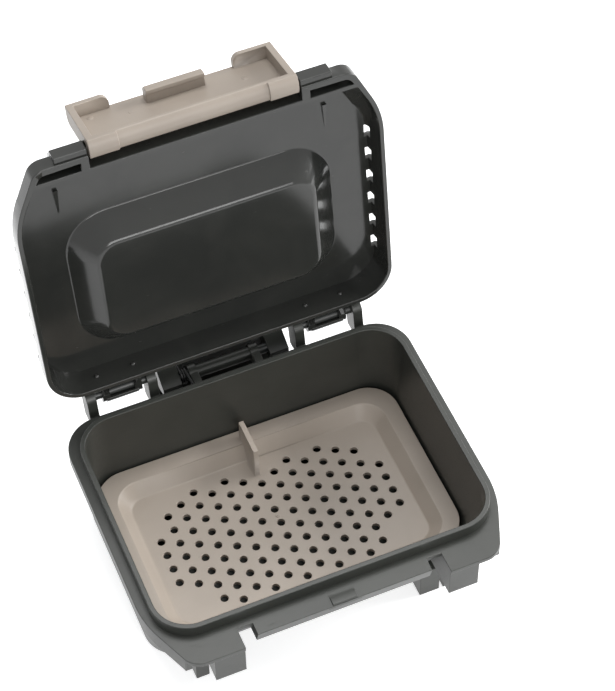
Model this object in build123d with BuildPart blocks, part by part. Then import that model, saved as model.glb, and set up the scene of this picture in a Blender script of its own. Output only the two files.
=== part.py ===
# Vented bait and lure box with a perforated insert tray, a wide front latch and a belt clip.
# Millimetres. X to the right, Y towards the hinge, Z up. The origin is under the middle of the tub,
# on the plane the feet stand on. The box is written open, as it is shown: the lid stands up at the
# back and the latch is folded out at its top.
import math
import os

from build123d import *

# Tub and flange outline
half_width = 53.6
front_y = -47.5
rear_y = 40.8
chamfer_side_y = -29.1
chamfer_front_x = 45.7
side_round = 30.0
front_round = 6.0
rear_round = 11.0
flange_top = 35.4
flange_skin = 1.6
skirt_thickness = 1.5
skirt_drop = 4.2
corner_skirt_drop = 6.2
skirt_front_y = -44.4

# Tub walls
rim_top = 39.1
rim_half_width = 50.8
rim_front = -38.4
rim_back = 37.7
rim_round = 11.4
wall_break = 33.0
base_half_width = 49.8
base_front = -22.9
base_back = 37.1
base_round = 9.5
wall_thickness = 1.4
floor_top = 2.0
base_edge_round = 4.5
floor_edge_round = 3.0

# Front of the tub: two corner blocks, the lip between them and the notches beside it
block_inner_x = 30.5
block_outer_x = 39.5
block_front = -47.0
block_back = -33.0
block_drop = 13.0
block_wall = 1.6
notch_back = -41.0
lip_half_width = 26.0
lip_front = -45.0
lip_foot = -43.7
lip_drop = 5.0
catch_half_width = 5.0
catch_rise = 0.5

# Feet
foot_inner_x = 29.2
foot_outer_x = 40.6
foot_slot_inner_x = 35.4
foot_slot_outer_x = 36.6
front_foot_y = -32.1
front_foot_height = 12.0
front_foot_back = -19.5

# Hinge
hinge_y = 45.4
hinge_z = 39.4
lid_open = 98.7
ear_thickness = 3.0
outer_ear_x = half_width - 11.6
inner_ear_x = half_width - 30.4
ear_radius = 3.3
hinge_pin_radius = 1.5
running_clearance = 0.1
lug_radius = 2.7
lug_width = 2.3
outer_lug_x = outer_ear_x - 4.7
inner_lug_x = inner_ear_x + 4.2
shell_radius = 3.0
shell_inner_radius = 1.9
shell_mouth_angle = 224.0
shell_mouth_half_angle = 50.0

# Lid, with heights above the flange plane it closes on
lid_seat_gap = 0.15
lid_height = 10.3
lid_wall = 1.5
lid_front_y = -44.3
lid_chamfer_side_y = -27.4
lid_chamfer_front_x = 45.6
lid_front_round = 4.5
bevel_start = 5.0
crown_half_width = half_width - 0.5
crown_back = rear_y - 0.5
crown_chamfer_side_y = -18.3
crown_chamfer_front_x = 42.6
crown_front_y = -38.8
crown_edge_round = 1.0
crown_inside = 8.7
hollow_bevel_start = 4.0
hollow_half_width = half_width - 1.4
hollow_back = rear_y - 1.4
hollow_chamfer_side_y = -26.9
hollow_chamfer_front_x = 46.6
hollow_crown_half_width = half_width - 3.1
hollow_crown_back = rear_y - 1.9
hollow_crown_chamfer_side_y = -20.3
hollow_crown_chamfer_front_x = 41.1
hollow_side_round = 28.0
hollow_rear_round = 9.5
hollow_front_round = 1.0
rib_outer_y = -39.95
rib_inner_y = -38.7
pocket_rim = 1.9
pocket_inner_x = 32.9
pocket_depth = 5.2
recess_half_width = 30.4
tab_outer_x = 39.7
tab_front_y = -46.15
tab_low = 0.8
tab_high = 8.2

# Panel sunk into the lid
panel_base_half_x = 39.6
panel_base_front = -17.4
panel_base_back = 31.0
panel_base_round = 13.0
panel_face_half_x = 32.4
panel_face_front = -10.7
panel_face_back = 24.4
panel_face_round = 6.5
panel_face_height = 2.0
panel_skin = 1.5

# Vent slots in the lid's upper side edges
slot_count = 6
slot_first_y = -15.6
slot_pitch = 8.38
slot_length = 3.9
slot_inner_x = half_width - 4.6
slot_low = 7.0

# Latch, drawn as when it hangs shut: outward is minus Y and its free end is down
pivot_y = -44.8
pivot_height = 4.8
latch_turn = 186.0
latch_half_width = 29.9
latch_outer = -2.5
latch_inner = -1.0
latch_edge = 3.0
latch_length = 16.2
latch_end_wall = 1.6
latch_cheek = 2.0
latch_top_inside = 1.9
roll_radius = 4.7
roll_middle_radius = 4.15
roll_step_x = 21.5
return_inner_x = 18.0
return_round = 2.4
hook_half_width = 8.5
hook_top = -11.0
hook_lip = -10.3
hook_bottom = -14.2
hook_reach = 3.3
stud_radius = 1.0
stud_depth = 1.7

# Insert tray, set a small gap inside the tub's walls at the height of its border
tray_gap = 0.3
tray_border_top = 12.0
tray_floor_top = 8.0
tray_skin = 1.4
tray_half_width = base_half_width - wall_thickness - tray_gap
tray_back = base_back - wall_thickness - tray_gap
front_lean = (base_front - rim_front) / (wall_break - floor_top)
tray_front = (
    base_front + wall_thickness + tray_gap - front_lean * (tray_border_top - tray_skin - floor_top)
)
tray_round = 9.6
tray_border = 5.1
tray_bed_inset = 8.6
tray_front_border = 2.6
tray_front_bed_inset = 5.8
tray_edge_half_x = tray_half_width - tray_border
tray_bed_half_x = tray_half_width - tray_bed_inset
tray_edge_round = 7.5
tray_bed_round = 5.0
hole_radius = 1.22
hole_pitch = tray_bed_half_x / 3.95
row_pitch = 2.5
first_row_y = tray_back - 12.9
leg_x = tray_half_width - 12.7
front_leg_y = tray_front + 9.0
back_leg_y = tray_back - 13.0
leg_radius = 1.9
fin_half_thickness = 0.8
fin_front = tray_back - 14.6
fin_back = tray_back - 2.2
fin_top = 19.6

# Belt clip behind the tub
clip_pin_y = 46.3
clip_pin_z = 33.0
clip_pin_radius = 1.5
clip_lug_inner_x = 8.5
clip_lug_outer_x = 11.0
clip_lug_radius = 2.7
clip_barrel_radius = 2.0
clip_half_width = 20.0
clip_block_inner_x = 14.0
clip_thickness = 1.9
clip_bore_depth = 3.5
clip_foot_z = 9.0
clip_foot_y = 43.6
clip_knee_y = 48.0
clip_knee_z = 22.0
clip_head_y = 50.6
clip_head_z = 36.8
clip_nose_y = 43.0

# Torsion spring on the clip pin, with one leg to the flange and one short of the clip plate
spring_wire_radius = 0.35
spring_radius = 2.15
spring_turns = 2.0
spring_pitch = 0.8
spring_start_x = -13.5
spring_leg_gap = 0.03
spring_clip_leg = 3.4

os.makedirs("parts", exist_ok=True)

# Frames: the lid turns about the hinge pins, and the latch turns about its studs in the lid
lid_frame = Plane((0, hinge_y, hinge_z)).rotated((-lid_open, 0, 0))
flange_in_lid = flange_top - hinge_z
latch_pivot = lid_frame.from_local_coords(
    Vector(0, pivot_y - hinge_y, flange_in_lid + pivot_height)
)
latch_frame = Plane(latch_pivot, x_dir=lid_frame.x_dir, z_dir=lid_frame.z_dir).rotated((-latch_turn, 0, 0))


def lid_level(height):
    return lid_frame.offset(flange_in_lid + height)


def lid_side(x):
    return Plane(
        lid_frame.from_local_coords(Vector(x, 0, 0)), x_dir=lid_frame.y_dir, z_dir=lid_frame.x_dir
    )


def latch_side(x):
    return Plane(
        latch_frame.from_local_coords(Vector(x, 0, 0)), x_dir=latch_frame.y_dir, z_dir=latch_frame.x_dir
    )


def tub_side(x):
    return Plane((x, 0, 0), x_dir=(0, 1, 0), z_dir=(1, 0, 0))


# Outline shared by the flange and the lid
outline_points = [
    (half_width, rear_y),
    (-half_width, rear_y),
    (-half_width, chamfer_side_y),
    (-chamfer_front_x, front_y),
    (chamfer_front_x, front_y),
    (half_width, chamfer_side_y),
]
with BuildSketch() as outline:
    Polygon(*outline_points, align=None)
    corners = outline.vertices().sort_by(Axis.Y)
    fillet(corners[0:2], front_round)
    fillet(outline.vertices().filter_by(lambda v: abs(v.Y - chamfer_side_y) < 0.01), side_round)
    fillet(outline.vertices().filter_by(lambda v: abs(v.Y - rear_y) < 0.01), rear_round)
with BuildSketch() as outline_inside:
    add(outline.sketch)
    offset(amount=-skirt_thickness, mode=Mode.REPLACE)


# Outline with sloping front corners, from three corners of its right half and their rounds
def sloped_outline(corners, rounds):
    mirrored = [(-x, y) for x, y in reversed(corners)]
    with BuildSketch() as drawn:
        Polygon(*corners, *mirrored, align=None)
        for corner, radius in zip(corners, rounds):
            fillet(drawn.vertices().filter_by(lambda v: abs(v.Y - corner[1]) < 0.01), radius)
    return drawn.sketch


lid_rounds = (rear_round, side_round, lid_front_round)
lid_outline = sloped_outline(
    [(half_width, rear_y), (half_width, lid_chamfer_side_y), (lid_chamfer_front_x, lid_front_y)],
    lid_rounds,
)
crown_outline = sloped_outline(
    [
        (crown_half_width, crown_back),
        (crown_half_width, crown_chamfer_side_y),
        (crown_chamfer_front_x, crown_front_y),
    ],
    lid_rounds,
)
hollow_rounds = (hollow_rear_round, hollow_side_round, hollow_front_round)
hollow_outline = sloped_outline(
    [
        (hollow_half_width, hollow_back),
        (hollow_half_width, hollow_chamfer_side_y),
        (hollow_chamfer_front_x, rib_inner_y),
    ],
    hollow_rounds,
)
hollow_crown_outline = sloped_outline(
    [
        (hollow_crown_half_width, hollow_crown_back),
        (hollow_crown_half_width, hollow_crown_chamfer_side_y),
        (hollow_crown_chamfer_front_x, rib_inner_y),
    ],
    hollow_rounds,
)

# Tub
with BuildPart() as tub:
    # Corner blocks beside the latch, hollow from below
    for side in (-1, 1):
        with BuildSketch(Plane.XY.offset(flange_top - block_drop)):
            with Locations((side * (block_inner_x + block_outer_x) / 2, block_front)):
                Rectangle(
                    block_outer_x - block_inner_x, block_back - block_front,
                    align=(Align.CENTER, Align.MIN),
                )
        extrude(amount=block_drop)
    blocks_low = tub.edges().filter_by_position(
        Axis.Z, flange_top - block_drop - 0.01, flange_top - block_drop + 0.01
    )
    fillet(blocks_low.filter_by(lambda e: e.center().Y < block_back - 1), 1.0)
    for side in (-1, 1):
        with BuildSketch(Plane.XY.offset(flange_top - block_drop)):
            with Locations((side * (block_inner_x + block_outer_x) / 2, block_front + block_wall)):
                Rectangle(
                    block_outer_x - block_inner_x - 2 * block_wall,
                    block_back - block_front - 2 * block_wall,
                    align=(Align.CENTER, Align.MIN),
                )
        extrude(amount=block_drop - flange_skin, mode=Mode.SUBTRACT)

    # Walls, narrower at the floor, with the front leaning in under the lip and closing the blocks
    with BuildSketch():
        with Locations((0, (base_front + base_back) / 2)):
            RectangleRounded(2 * base_half_width, base_back - base_front, base_round)
    with BuildSketch(Plane.XY.offset(wall_break)):
        with Locations((0, (rim_front + rim_back) / 2)):
            RectangleRounded(2 * rim_half_width, rim_back - rim_front, rim_round)
    loft()
    fillet(tub.edges().group_by(Axis.Z)[0], base_edge_round)
    with BuildSketch(Plane.XY.offset(wall_break)):
        with Locations((0, (rim_front + rim_back) / 2)):
            RectangleRounded(2 * rim_half_width, rim_back - rim_front, rim_round)
    extrude(amount=rim_top - wall_break)

    # Flange plate and the skirt that hangs from its edge
    with BuildSketch(Plane.XY.offset(flange_top - flange_skin)):
        add(outline.sketch)
        with Locations((0, notch_back)):
            Rectangle(
                2 * block_inner_x, 2 * (notch_back - front_y), align=(Align.CENTER, Align.MAX),
                mode=Mode.SUBTRACT,
            )
    extrude(amount=flange_skin)
    with BuildSketch(Plane.XY.offset(flange_top - skirt_drop)):
        add(outline.sketch)
        add(outline_inside.sketch, mode=Mode.SUBTRACT)
        with Locations((0, skirt_front_y)):
            Rectangle(4 * half_width, 8, align=(Align.CENTER, Align.MAX), mode=Mode.SUBTRACT)
    extrude(amount=skirt_drop)
    with BuildSketch(Plane.XY.offset(flange_top - corner_skirt_drop)):
        add(outline.sketch)
        add(outline_inside.sketch, mode=Mode.SUBTRACT)
        with Locations((0, chamfer_side_y + 3)):
            Rectangle(
                4 * half_width, 4 * rear_y, align=(Align.CENTER, Align.MIN), mode=Mode.SUBTRACT
            )
        with Locations((0, skirt_front_y)):
            Rectangle(4 * half_width, 8, align=(Align.CENTER, Align.MAX), mode=Mode.SUBTRACT)
    extrude(amount=corner_skirt_drop)

    # Lip that the latch hooks under, with its raised catch
    with BuildSketch(tub_side(-lip_half_width)):
        with BuildLine():
            Polyline(
                (lip_front, flange_top),
                (lip_foot, flange_top - lip_drop),
                (lip_foot + skirt_thickness, flange_top - lip_drop),
                (lip_foot + skirt_thickness, flange_top - flange_skin),
                (rim_front + 1, flange_top - flange_skin),
                (rim_front + 1, flange_top),
                close=True,
            )
        make_face()
    extrude(amount=2 * lip_half_width)
    for x in (-lip_half_width, lip_half_width - skirt_thickness):
        with BuildSketch(tub_side(x)):
            with BuildLine():
                Polyline(
                    (lip_front, flange_top),
                    (lip_foot, flange_top - lip_drop),
                    (rim_front + 1, flange_top - lip_drop),
                    (rim_front + 1, flange_top),
                    close=True,
                )
            make_face()
        extrude(amount=skirt_thickness)
    with BuildSketch(tub_side(-catch_half_width)):
        with BuildLine():
            Polyline(
                (lip_front + 0.1, flange_top - 1.2),
                (lip_front + 0.3, flange_top + catch_rise),
                (lip_front + 1.6, flange_top + catch_rise),
                (lip_front + 3.2, flange_top - 0.4),
                close=True,
            )
        make_face()
    extrude(amount=2 * catch_half_width)

    # Feet
    for side in (-1, 1):
        for low, high in ((foot_inner_x, foot_slot_inner_x), (foot_slot_outer_x, foot_outer_x)):
            with BuildSketch():
                with Locations((side * (low + high) / 2, front_foot_y)):
                    Rectangle(
                        high - low, front_foot_back - front_foot_y, align=(Align.CENTER, Align.MIN)
                    )
            extrude(amount=front_foot_height)

    # Hinge ears
    for x in (-outer_ear_x, -inner_ear_x, inner_ear_x, outer_ear_x):
        with BuildSketch(tub_side(x - ear_thickness / 2)):
            with BuildLine():
                Polyline(
                    (rear_y - 2, flange_top - skirt_drop),
                    (rear_y - 2, flange_top - 0.4),
                    (rear_y + 0.5, flange_top - 0.4),
                    (hinge_y - ear_radius, hinge_z),
                    (hinge_y + ear_radius, hinge_z),
                    (hinge_y + 1, flange_top - skirt_drop),
                    close=True,
                )
            make_face()
            with Locations((hinge_y, hinge_z)):
                Circle(ear_radius)
        extrude(amount=ear_thickness)

    # Lugs and barrel that carry the clip pin
    for x in (-clip_lug_outer_x, clip_lug_inner_x):
        with BuildSketch(tub_side(x)):
            with Locations((clip_pin_y, clip_pin_z)):
                Circle(clip_lug_radius)
            with Locations((rear_y - 1, flange_top - 0.4)):
                Rectangle(
                    clip_pin_y - rear_y + 1, flange_top - clip_pin_z + clip_lug_radius - 0.8,
                    align=(Align.MIN, Align.MAX),
                )
        extrude(amount=clip_lug_outer_x - clip_lug_inner_x)
    with BuildSketch(tub_side(-clip_lug_inner_x)):
        with Locations((clip_pin_y, clip_pin_z)):
            Circle(clip_barrel_radius)
    extrude(amount=2 * clip_lug_inner_x)

    # Inside of the tub
    with BuildPart(mode=Mode.SUBTRACT):
        with BuildSketch(Plane.XY.offset(floor_top)):
            with Locations((0, (base_front + base_back) / 2)):
                RectangleRounded(
                    2 * (base_half_width - wall_thickness),
                    base_back - base_front - 2 * wall_thickness,
                    base_round - 1,
                )
        with BuildSketch(Plane.XY.offset(wall_break)):
            with Locations((0, (rim_front + rim_back) / 2)):
                RectangleRounded(
                    2 * (rim_half_width - wall_thickness),
                    rim_back - rim_front - 2 * wall_thickness,
                    rim_round - wall_thickness,
                )
        loft()
        fillet(edges().group_by(Axis.Z)[0], floor_edge_round)
        with BuildSketch(Plane.XY.offset(wall_break)):
            with Locations((0, (rim_front + rim_back) / 2)):
                RectangleRounded(
                    2 * (rim_half_width - wall_thickness),
                    rim_back - rim_front - 2 * wall_thickness,
                    rim_round - wall_thickness,
                )
        extrude(amount=rim_top - wall_break + 1)

    # Bores for the hinge pins and the clip pin
    with BuildSketch(tub_side(-half_width)):
        with Locations((hinge_y, hinge_z)):
            Circle(hinge_pin_radius)
        with Locations((clip_pin_y, clip_pin_z)):
            Circle(clip_pin_radius)
    extrude(amount=2 * half_width, mode=Mode.SUBTRACT)
tub.part.label = "tub"
export_step(tub.part, "parts/tub.step")

# Insert tray
tray_depth = tray_back - tray_front
tray_middle_y = (tray_back + tray_front) / 2
edge_depth = tray_depth - tray_border - tray_front_border
edge_middle_y = tray_middle_y + (tray_front_border - tray_border) / 2
bed_depth = tray_depth - tray_bed_inset - tray_front_bed_inset
bed_middle_y = tray_middle_y + (tray_front_bed_inset - tray_bed_inset) / 2
with BuildPart() as tray:
    with BuildSketch(Plane.XY.offset(tray_border_top - tray_skin)):
        with Locations((0, tray_middle_y)):
            RectangleRounded(2 * tray_half_width, tray_depth, tray_round)
    extrude(amount=tray_skin)
    # The dished bed, seen from below
    with BuildSketch(Plane.XY.offset(tray_floor_top - tray_skin)):
        with Locations((0, bed_middle_y)):
            RectangleRounded(2 * tray_bed_half_x + 1.8, bed_depth + 1.8, tray_bed_round + 0.9)
    with BuildSketch(Plane.XY.offset(tray_border_top - tray_skin)):
        with Locations((0, edge_middle_y)):
            RectangleRounded(2 * tray_edge_half_x + 1.8, edge_depth + 1.8, tray_edge_round + 0.9)
    loft()
    # The dish itself
    with BuildSketch(Plane.XY.offset(tray_floor_top)):
        with Locations((0, bed_middle_y)):
            RectangleRounded(2 * tray_bed_half_x, bed_depth, tray_bed_round)
    with BuildSketch(Plane.XY.offset(tray_border_top)):
        with Locations((0, edge_middle_y)):
            RectangleRounded(2 * tray_edge_half_x, edge_depth, tray_edge_round)
    loft(mode=Mode.SUBTRACT)
    # Legs that keep the bed off the tub floor
    with BuildSketch(Plane.XY.offset(floor_top)):
        for leg_y in (front_leg_y, back_leg_y):
            with Locations((-leg_x, leg_y), (leg_x, leg_y)):
                Circle(leg_radius)
    extrude(amount=tray_floor_top - tray_skin / 2 - floor_top)
    # Lifting fin
    with BuildSketch(tub_side(-fin_half_thickness)):
        with BuildLine():
            Polyline(
                (fin_front - 0.3, tray_floor_top - 0.7),
                (fin_front + 0.5, fin_top),
                (fin_back, fin_top),
                (fin_back, tray_border_top - 0.7),
                (tray_back - tray_border, tray_border_top - 0.9),
                (tray_back - tray_bed_inset, tray_floor_top - 0.7),
                close=True,
            )
        make_face()
        fillet(vertices().filter_by(lambda v: v.Z > fin_top - 0.1), 0.7)
    extrude(amount=2 * fin_half_thickness)
    # Drain holes in staggered rows, with one left out for the fin
    half_steps_in_row = (4, 5, 6, 5, 6, 7, 6, 7, 6, 7, 6, 7, 6, 5, 4, 5, 4)
    with BuildSketch(Plane.XY.offset(tray_floor_top - tray_skin - 1)):
        for row, half_steps in enumerate(half_steps_in_row):
            for step in range(-half_steps, half_steps + 1, 2):
                if row > 0 or step != 0:
                    with Locations((step * hole_pitch / 2, first_row_y - row * row_pitch)):
                        RegularPolygon(hole_radius, 12)
    extrude(amount=tray_skin + 2, mode=Mode.SUBTRACT)
tray.part.label = "tray"
export_step(tray.part, "parts/tray.step")

# Lid, built shut in its own frame, where Y and Z are measured from the hinge
with BuildPart() as lid:
    with BuildSketch(lid_level(lid_seat_gap)):
        with Locations((0, -hinge_y)):
            add(lid_outline)
    extrude(amount=bevel_start - lid_seat_gap)
    with BuildSketch(lid_level(bevel_start)):
        with Locations((0, -hinge_y)):
            add(lid_outline)
    with BuildSketch(lid_level(lid_height)):
        with Locations((0, -hinge_y)):
            add(crown_outline)
    loft(ruled=True)
    crown_edges = lid.faces().sort_by(lambda f: lid_frame.to_local_coords(f.center()).Z)[-1].edges()
    fillet(crown_edges, crown_edge_round)
    # Main hollow, behind the inner rib
    with BuildSketch(lid_level(0)):
        with Locations((0, -hinge_y)):
            add(hollow_outline)
    extrude(amount=hollow_bevel_start, mode=Mode.SUBTRACT)
    with BuildSketch(lid_level(hollow_bevel_start)):
        with Locations((0, -hinge_y)):
            add(hollow_outline)
    with BuildSketch(lid_level(crown_inside)):
        with Locations((0, -hinge_y)):
            add(hollow_crown_outline)
    loft(ruled=True, mode=Mode.SUBTRACT)
    # Pockets in front of the rib
    for side in (-1, 1):
        with BuildSketch(lid_level(0)):
            with Locations((0, -hinge_y)):
                add(lid_outline)
            offset(amount=-pocket_rim, mode=Mode.REPLACE)
            with Locations((side * pocket_inner_x, rib_outer_y - hinge_y)):
                Rectangle(
                    half_width, 8, align=(Align.MIN if side > 0 else Align.MAX, Align.MAX),
                    mode=Mode.INTERSECT,
                )
        extrude(amount=pocket_depth, mode=Mode.SUBTRACT)
    # Recess for the latch
    with BuildSketch(lid_level(-1)):
        with Locations((0, rib_outer_y - hinge_y)):
            Rectangle(
                2 * recess_half_width, rib_outer_y - front_y + 1, align=(Align.CENTER, Align.MAX)
            )
    extrude(amount=lid_height + 2, mode=Mode.SUBTRACT)
    # Sunken panel: skin first, then the hollow seen from outside
    panel_base_y = (panel_base_front + panel_base_back) / 2 - hinge_y
    panel_face_y = (panel_face_front + panel_face_back) / 2 - hinge_y
    with BuildSketch(lid_level(panel_face_height)):
        with Locations((0, panel_face_y)):
            RectangleRounded(
                2 * panel_face_half_x, panel_face_back - panel_face_front, panel_face_round
            )
    with BuildSketch(lid_level(crown_inside)):
        with Locations((0, panel_base_y)):
            RectangleRounded(
                2 * panel_base_half_x, panel_base_back - panel_base_front, panel_base_round
            )
    loft()
    with BuildSketch(lid_level(panel_face_height + panel_skin)):
        with Locations((0, panel_face_y)):
            RectangleRounded(
                2 * panel_face_half_x - 1.4, panel_face_back - panel_face_front - 1.4, panel_face_round - 0.7
            )
    with BuildSketch(lid_level(lid_height)):
        with Locations((0, panel_base_y)):
            RectangleRounded(
                2 * panel_base_half_x - 1.0, panel_base_back - panel_base_front - 1.0, panel_base_round - 0.5
            )
    loft(mode=Mode.SUBTRACT)
    # Vent slots through the upper side edges
    for side in (-1, 1):
        for slot in range(slot_count):
            with BuildSketch(lid_level(slot_low)):
                with Locations((side * slot_inner_x, slot_first_y + slot * slot_pitch - hinge_y)):
                    Rectangle(
                        half_width - slot_inner_x + lid_wall, slot_length,
                        align=(Align.MIN if side > 0 else Align.MAX, Align.CENTER),
                    )
            extrude(amount=lid_height, mode=Mode.SUBTRACT)
    # Tabs that stand over the tub's corner blocks
    for x in (-tab_outer_x, recess_half_width):
        with BuildSketch(lid_side(x)):
            with BuildLine():
                tab_foot = flange_in_lid + tab_low
                tab_shoulder = flange_in_lid + bevel_start
                tab_crown = flange_in_lid + tab_high
                tab_y = tab_front_y - hinge_y
                Polyline(
                    (tab_y, tab_foot),
                    (tab_y, tab_shoulder),
                    (tab_y + tab_high - bevel_start, tab_crown),
                    (tab_y + 5.6, tab_crown),
                    (tab_y + 3.1, tab_shoulder + 0.6),
                    (tab_y + 3.1, tab_foot),
                    close=True,
                )
            make_face()
        extrude(amount=tab_outer_x - recess_half_width)
    # Studs that the latch turns on
    for side in (-1, 1):
        with BuildSketch(latch_side(side * (latch_half_width - stud_depth))):
            Circle(stud_radius)
        extrude(amount=side * (recess_half_width - latch_half_width + stud_depth + 0.4))
    # Hinge lugs
    for x in (-outer_lug_x, -inner_lug_x, inner_lug_x, outer_lug_x):
        with BuildSketch(lid_side(x - lug_width / 2)):
            Circle(lug_radius)
            with Locations((rear_y - hinge_y - 0.5, 0)):
                Rectangle(hinge_y - rear_y + 0.5, 2 * lug_radius, align=(Align.MIN, Align.CENTER))
            Circle(hinge_pin_radius + running_clearance, mode=Mode.SUBTRACT)
        extrude(amount=lug_width)
    # Shells round the pins between the lugs, open towards the flange
    mouth_low = math.radians(shell_mouth_angle - shell_mouth_half_angle)
    mouth_middle = math.radians(shell_mouth_angle)
    mouth_high = math.radians(shell_mouth_angle + shell_mouth_half_angle)
    for x in (-outer_lug_x, inner_lug_x):
        with BuildSketch(lid_side(x)):
            Circle(shell_radius)
            with Locations((rear_y - hinge_y - 0.5, 0.8)):
                Rectangle(2.8, 2.1, align=(Align.MIN, Align.MIN))
            Circle(shell_inner_radius, mode=Mode.SUBTRACT)
            Polygon(
                (0, 0),
                (6 * math.cos(mouth_low), 6 * math.sin(mouth_low)),
                (9 * math.cos(mouth_middle), 9 * math.sin(mouth_middle)),
                (6 * math.cos(mouth_high), 6 * math.sin(mouth_high)),
                align=None, mode=Mode.SUBTRACT,
            )
        extrude(amount=outer_lug_x - inner_lug_x)
lid.part.label = "lid"
export_step(lid.part, "parts/lid.step")

# Latch, drawn hanging shut in its own frame and written folded out
with BuildPart() as latch:
    for x_low, x_high, radius in (
        (-latch_half_width, -roll_step_x, roll_radius),
        (-roll_step_x, roll_step_x, roll_middle_radius),
        (roll_step_x, latch_half_width, roll_radius),
    ):
        with BuildSketch(latch_side(x_low)):
            with Locations(((latch_outer + latch_edge) / 2, -latch_length)):
                Rectangle(
                    latch_edge - latch_outer, latch_length + radius, align=(Align.CENTER, Align.MIN)
                )
            with BuildSketch(mode=Mode.INTERSECT):
                Circle(radius)
                with Locations((0, 0)):
                    Rectangle(4 * radius, 2 * latch_length, align=(Align.CENTER, Align.MAX))
        extrude(amount=x_high - x_low)
    # Outer end edge
    end_edges = latch.edges().filter_by(Axis.X).sort_by(
        lambda e: latch_frame.to_local_coords(e.center()).Z * 10
        + latch_frame.to_local_coords(e.center()).Y
    )
    fillet(end_edges[0:1], 2.2)
    # Hollow between the cheeks
    with BuildSketch(latch_side(-latch_half_width + latch_cheek)):
        with Locations((latch_inner, latch_top_inside)):
            Rectangle(6, latch_top_inside + latch_length - latch_end_wall, align=(Align.MIN, Align.MAX))
    extrude(amount=2 * (latch_half_width - latch_cheek), mode=Mode.SUBTRACT)
    # Open middle of the free end
    with BuildSketch(latch_side(-return_inner_x)):
        with Locations((latch_inner, -latch_length + latch_end_wall)):
            Rectangle(6, 4, align=(Align.MIN, Align.MAX))
    extrude(amount=2 * return_inner_x, mode=Mode.SUBTRACT)
    return_corners = latch.edges().filter_by(
        lambda e: abs(abs(e.center().X) - return_inner_x) < 0.01
        and latch_frame.to_local_coords(e.center()).Y > latch_edge - 0.01
    )
    fillet(return_corners, return_round)
    # Hook bar with its lip
    with BuildSketch(latch_side(-hook_half_width)):
        with BuildLine():
            Polyline(
                (latch_inner - 0.5, hook_top),
                (1.9, hook_top),
                (2.1, hook_lip),
                (hook_reach, hook_lip),
                (hook_reach, hook_bottom + 1.2),
                (hook_reach - 1.2, hook_bottom),
                (latch_inner - 0.5, hook_bottom),
                close=True,
            )
        make_face()
    extrude(amount=2 * hook_half_width)
    # Holes for the studs
    for side in (-1, 1):
        with BuildSketch(latch_side(side * latch_half_width)):
            Circle(stud_radius + running_clearance)
        extrude(amount=-side * (stud_depth + running_clearance), mode=Mode.SUBTRACT)
latch.part.label = "latch"
export_step(latch.part, "parts/latch.step")

# Hinge pins
pin_low_x = inner_ear_x - ear_thickness / 2
pin_high_x = outer_ear_x + ear_thickness / 2
with BuildPart() as left_hinge_pin:
    with BuildSketch(tub_side(-pin_high_x)):
        with Locations((hinge_y, hinge_z)):
            Circle(hinge_pin_radius)
    extrude(amount=pin_high_x - pin_low_x)
left_hinge_pin.part.label = "left_hinge_pin"
export_step(left_hinge_pin.part, "parts/left_hinge_pin.step")

with BuildPart() as right_hinge_pin:
    with BuildSketch(tub_side(pin_low_x)):
        with Locations((hinge_y, hinge_z)):
            Circle(hinge_pin_radius)
    extrude(amount=pin_high_x - pin_low_x)
right_hinge_pin.part.label = "right_hinge_pin"
export_step(right_hinge_pin.part, "parts/right_hinge_pin.step")

# Belt clip
with BuildPart() as belt_clip:
    with BuildSketch(tub_side(-clip_half_width)):
        with BuildLine():
            Polyline(
                (clip_head_y, clip_head_z),
                (clip_head_y, clip_pin_z - 4),
                (clip_knee_y, clip_knee_z),
                (clip_foot_y + 0.6, clip_foot_z + 2.6),
                (clip_foot_y - 1.6, clip_foot_z + 1.6),
                (clip_foot_y - 1.6, clip_foot_z + 0.2),
                (clip_foot_y + 1.4, clip_foot_z),
                (clip_knee_y + clip_thickness, clip_knee_z - 0.4),
                (clip_head_y + clip_thickness, clip_pin_z - 4.2),
                (clip_head_y + clip_thickness, clip_head_z),
                close=True,
            )
        make_face()
    extrude(amount=2 * clip_half_width)
    # Side blocks that hold the pin, and the sloping head over them
    for x in (-clip_half_width, clip_block_inner_x):
        with BuildSketch(tub_side(x)):
            with BuildLine():
                Polyline(
                    (clip_head_y + 0.5, clip_head_z),
                    (clip_head_y - 1.2, clip_head_z),
                    (clip_nose_y, clip_pin_z + 0.6),
                    (clip_nose_y, clip_pin_z - 2.0),
                    (clip_pin_y, clip_pin_z - 3.4),
                    (clip_head_y + 0.5, clip_pin_z - 3.4),
                    close=True,
                )
            make_face()
        extrude(amount=clip_half_width - clip_block_inner_x)
    for side in (-1, 1):
        with BuildSketch(tub_side(side * clip_block_inner_x)):
            with Locations((clip_pin_y, clip_pin_z)):
                Circle(clip_pin_radius + running_clearance)
        extrude(amount=side * (clip_bore_depth + running_clearance), mode=Mode.SUBTRACT)
belt_clip.part.label = "belt_clip"
export_step(belt_clip.part, "parts/belt_clip.step")

with BuildPart() as clip_pin:
    clip_pin_half_length = clip_block_inner_x + clip_bore_depth
    with BuildSketch(tub_side(-clip_pin_half_length)):
        with Locations((clip_pin_y, clip_pin_z)):
            Circle(clip_pin_radius)
    extrude(amount=2 * clip_pin_half_length)
clip_pin.part.label = "clip_pin"
export_step(clip_pin.part, "parts/clip_pin.step")

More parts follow.
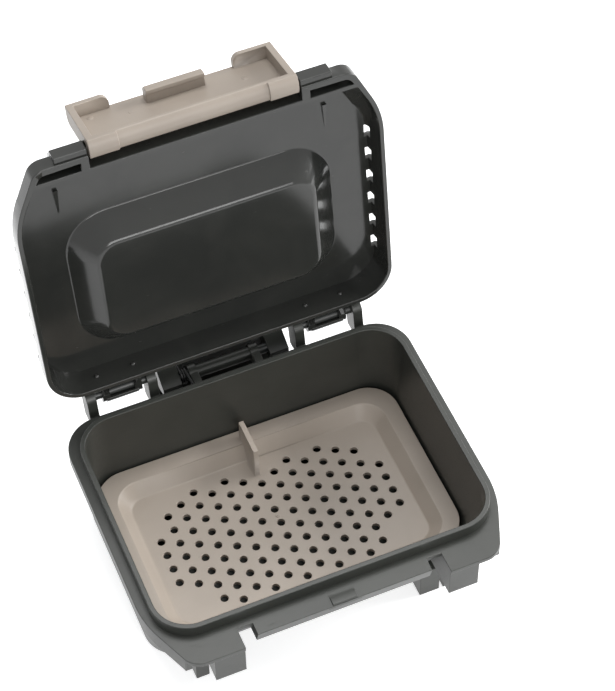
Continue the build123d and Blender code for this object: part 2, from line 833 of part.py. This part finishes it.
# Torsion spring: coils round the clip pin, one leg against the flange and one towards the clip plate
with BuildPart() as clip_spring:
    with BuildLine() as coil:
        turns = Helix(
            spring_pitch, spring_pitch * spring_turns, spring_radius,
            center=(spring_start_x, clip_pin_y, clip_pin_z), direction=(1, 0, 0),
        )
        Line(turns @ 0 - turns % 0 * spring_clip_leg, turns @ 0)
        Line(turns @ 1, turns @ 1 + turns % 1 * (clip_pin_y - rear_y - spring_leg_gap))
    with BuildSketch(Plane(turns @ 0 - turns % 0 * spring_clip_leg, z_dir=turns % 0)):
        Circle(spring_wire_radius)
    sweep(path=coil.wire())
clip_spring.part.label = "clip_spring"
export_step(clip_spring.part, "parts/clip_spring.step")
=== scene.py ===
# Vented bait and lure box, open, with its latch folded out and its insert tray in place.
# Metres, in the same frame as the solids: X to the right, Y towards the hinge, Z up.
import math

import bmesh
import bpy
from mathutils import Matrix, Vector


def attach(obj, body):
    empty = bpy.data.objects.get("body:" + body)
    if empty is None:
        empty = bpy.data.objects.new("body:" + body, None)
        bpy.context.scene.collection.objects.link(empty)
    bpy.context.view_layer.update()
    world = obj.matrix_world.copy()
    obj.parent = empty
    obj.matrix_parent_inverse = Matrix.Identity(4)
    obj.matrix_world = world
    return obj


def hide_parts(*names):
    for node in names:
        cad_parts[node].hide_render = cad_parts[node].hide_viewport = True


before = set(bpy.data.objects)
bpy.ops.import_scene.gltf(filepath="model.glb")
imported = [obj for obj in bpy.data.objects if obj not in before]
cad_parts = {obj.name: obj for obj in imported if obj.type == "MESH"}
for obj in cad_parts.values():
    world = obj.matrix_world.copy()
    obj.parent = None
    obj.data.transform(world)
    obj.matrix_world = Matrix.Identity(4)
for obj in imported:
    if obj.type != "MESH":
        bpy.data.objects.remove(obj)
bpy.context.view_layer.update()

MM = 0.001

# Hinge of the lid, and how far the lid stands open
HINGE = Vector((0, 45.4, 39.4)) * MM
LID_OPEN = math.radians(98.7)
FLANGE_TOP = 35.4
LID_TURN = (
    Matrix.Translation(HINGE) @ Matrix.Rotation(-LID_OPEN, 4, "X") @ Matrix.Translation(-HINGE)
)

# The latch's studs in the shut lid, and how far the latch is folded out
LATCH_PIVOT = Vector((0, -44.8, FLANGE_TOP + 4.8)) * MM
LATCH_OPEN = math.radians(186)
LATCH_TURN = (
    LID_TURN @ Matrix.Translation(LATCH_PIVOT) @ Matrix.Rotation(-LATCH_OPEN, 4, "X")
)

# Edge rounding of the moulded pieces: only outer edges between these angles are rounded
SHARP_ANGLE = math.radians(40)
KNIFE_ANGLE = math.radians(112)
FLAT_ANGLE = math.radians(0.15)
SHORTEST_ROUNDED = 0.45 * MM
MERGE_DISTANCE = 0.002 * MM
CREASE_ANGLE = math.radians(40)

# Catch on the tub's lip
CATCH_HALF_WIDTH = 5.0
CATCH_NARROWING = 0.74
CATCH_FRONT_END = -44.0
CATCH_SHIFT_BACK = 1.4

# Levels of the tray's border and bed
TRAY_BORDER_Z = 12.0
TRAY_BED_Z = 8.0

# Inside of the lid, as heights above the flange in the shut box
PANEL_FACE_H = 2.0
LID_ROOF_H = 8.7
SLOT_END_OF_SOLID = 49.0
SLOT_END = 50.9
LAST_SLOT_Y = 32
SIDE_WALL_FOOT_H = 4
SIDE_WALL_DRIFT = 1.1

# Lower back corners of the hinge ears
EAR_CENTRES = (-42.0, -23.2, 23.2, 42.0)
EAR_FILL_WIDTH = 2.98
EAR_FILL_FRONT = 44.4
EAR_FOOT = (46.39, 31.21)
EAR_TOP = (47.34, 34.6)


def new_material(name):
    material = bpy.data.materials.new(name)
    material.use_nodes = True
    tree = material.node_tree
    tree.nodes.clear()
    output = tree.nodes.new("ShaderNodeOutputMaterial")
    shader = tree.nodes.new("ShaderNodeBsdfPrincipled")
    tree.links.new(shader.outputs["BSDF"], output.inputs["Surface"])
    return material, tree, shader


def moulding_group():
    """Slow flow marks, a fine spark-eroded grain and small scuffs, as masks and a height."""
    group = bpy.data.node_groups.new("Moulded surface", "ShaderNodeTree")
    face = group.interface
    face.new_socket("Grain size", in_out="INPUT", socket_type="NodeSocketFloat")
    face.new_socket("Flow", in_out="OUTPUT", socket_type="NodeSocketFloat")
    face.new_socket("Scuffs", in_out="OUTPUT", socket_type="NodeSocketFloat")
    face.new_socket("Height", in_out="OUTPUT", socket_type="NodeSocketFloat")
    nodes, links = group.nodes, group.links
    inputs = nodes.new("NodeGroupInput")
    outputs = nodes.new("NodeGroupOutput")
    place = nodes.new("ShaderNodeTexCoord")

    flow = nodes.new("ShaderNodeTexNoise")
    flow.inputs["Scale"].default_value = 55
    flow.inputs["Detail"].default_value = 3
    flow.inputs["Distortion"].default_value = 0.6
    links.new(place.outputs["Object"], flow.inputs["Vector"])
    links.new(flow.outputs["Fac"], outputs.inputs["Flow"])

    stretch = nodes.new("ShaderNodeMapping")
    stretch.inputs["Rotation"].default_value = (0.4, 0.7, 0.5)
    stretch.inputs["Scale"].default_value = (260, 1900, 1900)
    scuffs = nodes.new("ShaderNodeTexNoise")
    scuffs.inputs["Scale"].default_value = 1
    scuffs.inputs["Detail"].default_value = 4
    cut = nodes.new("ShaderNodeMapRange")
    cut.inputs["From Min"].default_value = 0.6
    cut.inputs["From Max"].default_value = 0.76
    links.new(place.outputs["Object"], stretch.inputs["Vector"])
    links.new(stretch.outputs["Vector"], scuffs.inputs["Vector"])
    links.new(scuffs.outputs["Fac"], cut.inputs["Value"])
    links.new(cut.outputs["Result"], outputs.inputs["Scuffs"])

    grain_scale = nodes.new("ShaderNodeMath")
    grain_scale.operation = "DIVIDE"
    grain_scale.inputs[0].default_value = 1
    grain = nodes.new("ShaderNodeTexNoise")
    grain.inputs["Detail"].default_value = 2
    links.new(inputs.outputs["Grain size"], grain_scale.inputs[1])
    links.new(grain_scale.outputs["Value"], grain.inputs["Scale"])
    links.new(place.outputs["Object"], grain.inputs["Vector"])
    links.new(grain.outputs["Fac"], outputs.inputs["Height"])
    return group


def moulded_plastic(name, colour, shade, roughness, grain_size, grain_depth):
    """Satin plastic: its colour drifts with the flow, and scuffs dull it."""
    material, tree, shader = new_material(name)
    nodes, links = tree.nodes, tree.links
    surface = nodes.new("ShaderNodeGroup")
    surface.node_tree = MOULDING
    surface.inputs["Grain size"].default_value = grain_size
    tint = nodes.new("ShaderNodeMix")
    tint.data_type = "RGBA"
    tint.inputs["A"].default_value = (*shade, 1)
    tint.inputs["B"].default_value = (*colour, 1)
    spread = nodes.new("ShaderNodeMapRange")
    spread.inputs["From Min"].default_value = 0.3
    spread.inputs["From Max"].default_value = 0.6
    links.new(surface.outputs["Flow"], spread.inputs["Value"])
    links.new(spread.outputs["Result"], tint.inputs["Factor"])
    links.new(tint.outputs["Result"], shader.inputs["Base Color"])
    gloss = nodes.new("ShaderNodeMapRange")
    gloss.inputs["To Min"].default_value = roughness
    gloss.inputs["To Max"].default_value = roughness + 0.16
    links.new(surface.outputs["Scuffs"], gloss.inputs["Value"])
    links.new(gloss.outputs["Result"], shader.inputs["Roughness"])
    bump = nodes.new("ShaderNodeBump")
    bump.inputs["Strength"].default_value = 0.5
    bump.inputs["Distance"].default_value = grain_depth
    links.new(surface.outputs["Height"], bump.inputs["Height"])
    links.new(bump.outputs["Normal"], shader.inputs["Normal"])
    shader.inputs["IOR"].default_value = 1.49
    return material


MOULDING = moulding_group()
TUB = moulded_plastic(
    "tub_green_grey", (0.036, 0.038, 0.033), (0.029, 0.031, 0.027), 0.36, 0.24 * MM, 0.010 * MM
)
LID = moulded_plastic(
    "lid_polished_green_grey", (0.031, 0.032, 0.029), (0.025, 0.026, 0.024),
    0.12, 0.30 * MM, 0.0015 * MM,
)
TRAY = moulded_plastic(
    "tray_taupe", (0.43, 0.372, 0.316), (0.40, 0.345, 0.29), 0.42, 0.25 * MM, 0.02 * MM
)
LATCH = moulded_plastic(
    "latch_taupe", (0.335, 0.288, 0.243), (0.305, 0.261, 0.22), 0.42, 0.25 * MM, 0.02 * MM
)
PIN = moulded_plastic(
    "pin_dark", (0.045, 0.048, 0.045), (0.035, 0.038, 0.035), 0.32, 0.15 * MM, 0.008 * MM
)
WIRE = moulded_plastic(
    "wire_blackened", (0.012, 0.012, 0.012), (0.008, 0.008, 0.008), 0.45, 0.10 * MM, 0.004 * MM
)


def make_piece(name, bm, body, slot, *materials):
    mesh = bpy.data.meshes.new(name)
    bm.to_mesh(mesh)
    bm.free()
    for material in materials:
        mesh.materials.append(material)
    mesh.shade_smooth()
    mesh.set_sharp_from_angle(angle=CREASE_ANGLE)
    piece = bpy.data.objects.new(name, mesh)
    bpy.context.scene.collection.objects.link(piece)
    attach(piece, body)
    return piece


def soften(bm, edges, width, segments):
    """Rounds the given edges."""
    bmesh.ops.bevel(
        bm, geom=edges, offset=width, offset_type="OFFSET", segments=segments, profile=0.5,
        affect="EDGES", clamp_overlap=False, material=-1,
    )


def folds_at(bm, height, low, high):
    """Edges at one height where two faces meet at an angle between low and high degrees."""
    return [
        e for e in bm.edges
        if len(e.link_faces) == 2
        and all(abs(v.co.z / MM - height) < 0.02 for v in e.verts)
        and math.radians(low) < e.calc_face_angle() < math.radians(high)
    ]


def shape_tub(bm):
    """The catch on the lip: narrower than its solid, and running further back."""
    for vert in bm.verts:
        across = abs(vert.co.x) / MM
        if abs(across - CATCH_HALF_WIDTH) < 0.01 and vert.co.z / MM > FLANGE_TOP - 0.1:
            vert.co.x *= CATCH_NARROWING
            if vert.co.y / MM > CATCH_FRONT_END:
                on_top = vert.co.z / MM > FLANGE_TOP + 0.1
                vert.co.y += CATCH_SHIFT_BACK * MM * (0.8 if on_top else 1)


def shape_tray(bm):
    """Soft turns at the border and at the foot of the dish."""
    soften(bm, folds_at(bm, TRAY_BORDER_Z, 20, 70), 0.22 * MM, 2)
    soften(bm, folds_at(bm, TRAY_BED_Z, 20, 70), 0.4 * MM, 2)


def behind_front_chamfer(side, y, height):
    """Whether a place in the lid, in mm, lies behind its chamfered front corner."""
    return 0.904 * side - 0.428 * y < 57.1 - 0.88 * (height - 7)


def shape_lid(bm):
    """Steeper side walls at the vents, and the turns round the sunken panel."""
    bmesh.ops.transform(bm, matrix=LID_TURN.inverted(), verts=bm.verts)
    for vert in bm.verts:
        side = abs(vert.co.x) / MM
        height = vert.co.z / MM - FLANGE_TOP
        at_slot_end = abs(side - SLOT_END_OF_SOLID) < 0.05 and height > LID_ROOF_H - 0.1
        on_side_wall = 5.0 < height < LID_ROOF_H + 0.05 and 45.5 < side < 52.5
        if at_slot_end and abs(vert.co.y) < LAST_SLOT_Y * MM:
            vert.co.x *= SLOT_END / side
        elif on_side_wall and behind_front_chamfer(side, vert.co.y / MM, height):
            rise = (height - SIDE_WALL_FOOT_H) / (LID_ROOF_H - SIDE_WALL_FOOT_H)
            drift = SIDE_WALL_DRIFT * rise * min(1, (side - 45.5) / 5)
            vert.co.x *= (side + drift) / side
    soften(bm, folds_at(bm, FLANGE_TOP + PANEL_FACE_H, 20, 70), 0.9 * MM, 4)
    base = [
        e for e in folds_at(bm, FLANGE_TOP + LID_ROOF_H, 20, 70)
        if all(abs(v.co.x) < 40 * MM and v.co.y > -18 * MM for v in e.verts)
    ]
    soften(bm, base, 0.35 * MM, 2)
    bmesh.ops.transform(bm, matrix=LID_TURN, verts=bm.verts)


def rounded_copy(node, width, shape):
    """The node's own shape with its flat faces joined up and its sharp edges rounded."""
    bm = bmesh.new()
    bm.from_mesh(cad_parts[node].data)
    bmesh.ops.remove_doubles(bm, verts=bm.verts, dist=MERGE_DISTANCE)
    bmesh.ops.dissolve_limit(
        bm, angle_limit=FLAT_ANGLE, use_dissolve_boundaries=False,
        verts=bm.verts, edges=bm.edges,
    )
    if shape:
        shape(bm)
    sharp = [
        e for e in bm.edges
        if len(e.link_faces) == 2 and e.is_convex
        and SHARP_ANGLE < e.calc_face_angle() < KNIFE_ANGLE
        and e.calc_length() > SHORTEST_ROUNDED
    ]
    soften(bm, sharp, width, 2)
    return bm


def dress_node(node, body, slot, width, material, shape=None):
    """Shows a rounded copy of a CAD node in the node's place."""
    moulding = rounded_copy(node, width, shape)
    piece = make_piece(node + "_moulding", moulding, body, slot, material)
    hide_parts(node)
    weighted = piece.modifiers.new("even_normals", "WEIGHTED_NORMAL")
    weighted.keep_sharp = True
    return piece


def low_stud(bm, x, y, z, radius, height):
    """A round moulding mark that stands a little proud of a level face."""
    bmesh.ops.create_cone(
        bm, cap_ends=True, segments=20, radius1=radius * MM, radius2=radius * 0.82 * MM,
        depth=height * MM, matrix=Matrix.Translation(Vector((x, y, z)) * MM),
    )


def lid_marks():
    """Ejector studs inside the lid over the hinge lugs, and two short tapered ribs."""
    bm = bmesh.new()
    for x in (-38.4, -27.2, 27.2, 38.4):
        place = Matrix.Translation(Vector((x, 39.3, FLANGE_TOP + 5.1)) * MM)
        bmesh.ops.create_uvsphere(
            bm, u_segments=16, v_segments=10, radius=0.75 * MM,
            matrix=place @ Matrix.Diagonal((1, 0.8, 1, 1)),
        )
    for side in (-1, 1):
        rib = bmesh.ops.create_cube(bm, size=1)["verts"]
        for vert in rib:
            front = vert.co.y < 0
            vert.co.x = (side * 39.4 + vert.co.x * (1.3 if front else 0.5)) * MM
            vert.co.y = (-29.6 if front else -21.6) * MM
            vert.co.z = (FLANGE_TOP + (9.0 if vert.co.z > 0 else 7.9 if front else 8.55)) * MM
    bmesh.ops.transform(bm, matrix=LID_TURN, verts=bm.verts)
    bmesh.ops.recalc_face_normals(bm, faces=bm.faces)
    make_piece("lid_marks", bm, "lid", "shell_plastic", LID)


def latch_marks():
    """Ejector marks on the inside of the latch, and the scar of its gate."""
    bm = bmesh.new()
    lay_down = LATCH_TURN @ Matrix.Rotation(math.radians(-90), 4, "X")
    for x, length, radius in ((-24.4, 12.6, 1.1), (19.0, 8.5, 1.1), (-13.9, 9.5, 0.7)):
        low_stud(bm, x, length, -1.0, radius, 0.16)
    bmesh.ops.transform(bm, matrix=lay_down, verts=bm.verts)
    bmesh.ops.recalc_face_normals(bm, faces=bm.faces)
    make_piece("latch_marks", bm, "latch", "trim_plastic", LATCH)


def ear_backs():
    """The lower back corners of the four hinge ears, whose solids are notched there."""
    bm = bmesh.new()
    for x in EAR_CENTRES:
        corner = bmesh.ops.create_cube(bm, size=1)["verts"]
        for vert in corner:
            back, height = EAR_FOOT if vert.co.z < 0 else EAR_TOP
            y = back if vert.co.y > 0 else EAR_FILL_FRONT
            vert.co = Vector((x + vert.co.x * EAR_FILL_WIDTH, y, height)) * MM
    bmesh.ops.recalc_face_normals(bm, faces=bm.faces)
    make_piece("ear_backs", bm, "tub", "shell_plastic", TUB)


def tray_gate():
    """The scar of the tray's gate, in the middle of the bed."""
    bm = bmesh.new()
    low_stud(bm, 0, 4.95, 8.05, 0.75, 0.3)
    low_stud(bm, 0, 4.95, 8.2, 0.3, 0.3)
    bmesh.ops.recalc_face_normals(bm, faces=bm.faces)
    make_piece("tray_gate", bm, "tray", "trim_plastic", TRAY)


dress_node("tub", "tub", "shell_plastic", 0.2 * MM, TUB, shape_tub)
dress_node("lid", "lid", "shell_plastic", 0.25 * MM, LID, shape_lid)
dress_node("latch", "latch", "trim_plastic", 0.2 * MM, LATCH)
dress_node("tray", "tray", "trim_plastic", 0.15 * MM, TRAY, shape_tray)
dress_node("belt_clip", "belt_clip", "shell_plastic", 0.2 * MM, TUB)
lid_marks()
ear_backs()
latch_marks()
tray_gate()
for pin, finish in (
    ("left_hinge_pin", PIN), ("right_hinge_pin", PIN), ("clip_pin", PIN), ("clip_spring", WIRE)
):
    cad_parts[pin].data.materials.clear()
    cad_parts[pin].data.materials.append(finish)


def white_to_eye_and_gloss(tree):
    """1 for what the camera sees directly, in a gloss or through glass, and else 0."""
    paths = tree.nodes.new("ShaderNodeLightPath")
    either = tree.nodes.new("ShaderNodeMath")
    either.operation = "MAXIMUM"
    tree.links.new(paths.outputs["Is Camera Ray"], either.inputs[0])
    tree.links.new(paths.outputs["Is Glossy Ray"], either.inputs[1])
    all_three = tree.nodes.new("ShaderNodeMath")
    all_three.operation = "MAXIMUM"
    tree.links.new(either.outputs["Value"], all_three.inputs[0])
    tree.links.new(paths.outputs["Is Transmission Ray"], all_three.inputs[1])
    return all_three.outputs["Value"]


def white_surroundings():
    """White for the camera and for reflections, and a weaker soft light for the object."""
    scene = bpy.context.scene
    world = bpy.data.worlds.new("studio")
    scene.world = world
    world.use_nodes = True
    tree = world.node_tree
    tree.nodes.clear()
    output = tree.nodes.new("ShaderNodeOutputWorld")
    shown = tree.nodes.new("ShaderNodeBackground")
    shown.inputs["Strength"].default_value = 1
    lit = tree.nodes.new("ShaderNodeBackground")
    lit.inputs["Color"].default_value = (0.95, 0.97, 1.0, 1)
    lit.inputs["Strength"].default_value = 0.4
    shown.inputs["Color"].default_value = (1, 1, 1, 1)
    mix = tree.nodes.new("ShaderNodeMixShader")
    tree.links.new(white_to_eye_and_gloss(tree), mix.inputs["Fac"])
    tree.links.new(lit.outputs["Background"], mix.inputs[1])
    tree.links.new(shown.outputs["Background"], mix.inputs[2])
    tree.links.new(mix.outputs["Shader"], output.inputs["Surface"])


def pale_floor():
    """A white floor that takes the object's shadow, and that is clear from below."""
    bm = bmesh.new()
    bmesh.ops.create_grid(bm, x_segments=1, y_segments=1, size=3)
    bmesh.ops.translate(bm, vec=(0, 0, -0.05 * MM), verts=bm.verts)
    mesh = bpy.data.meshes.new("floor")
    bm.to_mesh(mesh)
    bm.free()
    floor = bpy.data.objects.new("floor", mesh)
    bpy.context.scene.collection.objects.link(floor)
    material, tree, shader = new_material("floor_white")
    shader.inputs["Base Color"].default_value = (0.85, 0.85, 0.85, 1)
    shader.inputs["Roughness"].default_value = 0.9
    glow = tree.nodes.new("ShaderNodeMath")
    glow.operation = "MULTIPLY"
    glow.inputs[1].default_value = 0.62
    tree.links.new(white_to_eye_and_gloss(tree), glow.inputs[0])
    tree.links.new(glow.outputs["Value"], shader.inputs["Emission Strength"])
    shader.inputs["Emission Color"].default_value = (1, 1, 1, 1)
    side = tree.nodes.new("ShaderNodeNewGeometry")
    clear = tree.nodes.new("ShaderNodeBsdfTransparent")
    seen = tree.nodes.new("ShaderNodeMixShader")
    tree.links.new(side.outputs["Backfacing"], seen.inputs["Fac"])
    tree.links.new(shader.outputs["BSDF"], seen.inputs[1])
    tree.links.new(clear.outputs["BSDF"], seen.inputs[2])
    output = next(node for node in tree.nodes if node.type == "OUTPUT_MATERIAL")
    tree.links.new(seen.outputs["Shader"], output.inputs["Surface"])
    mesh.materials.append(material)


CENTRE = Vector((0, 0.02, 0.05))


def soft_box(name, place, width, height, power):
    """A rectangular lamp that faces the middle of the object."""
    light = bpy.data.lights.new(name, "AREA")
    light.shape = "RECTANGLE"
    light.size = width
    light.size_y = height
    light.energy = power
    lamp = bpy.data.objects.new(name, light)
    lamp.location = place
    aim = CENTRE - Vector(place)
    lamp.rotation_euler = aim.to_track_quat("-Z", "Y").to_euler()
    bpy.context.scene.collection.objects.link(lamp)


def photo_camera():
    """The photograph's view, from the front, above and a little to the left."""
    camera = bpy.data.cameras.new("camera")
    camera.sensor_fit = "AUTO"
    camera.sensor_width = 36
    camera.lens = 117.71
    camera.shift_x = 0.0713
    camera.clip_start = 0.05
    camera.clip_end = 20
    holder = bpy.data.objects.new("camera", camera)
    right = Vector((0.92487782, -0.37928493, -0.02727556))
    down = Vector((-0.31709392, -0.72965811, -0.60584692))
    look = Vector((0.20988677, 0.5689833, -0.79511355))
    turn = Matrix((right, -down, -look)).transposed().to_4x4()
    holder.matrix_world = Matrix.Translation(Vector((-129.515, -335.894, 569.281)) * MM) @ turn
    bpy.context.scene.collection.objects.link(holder)
    bpy.context.scene.camera = holder


bpy.context.scene.view_settings.view_transform = "Standard"
white_surroundings()
pale_floor()
soft_box("front_soft_box", (0.0, -0.95, 0.5), 0.6, 0.4, 4.5)
soft_box("right_soft_box", (0.9, 0.0, 0.45), 0.5, 0.5, 10)
soft_box("top_soft_box", (0.05, 0.3, 1.0), 0.7, 0.5, 5.5)
photo_camera()
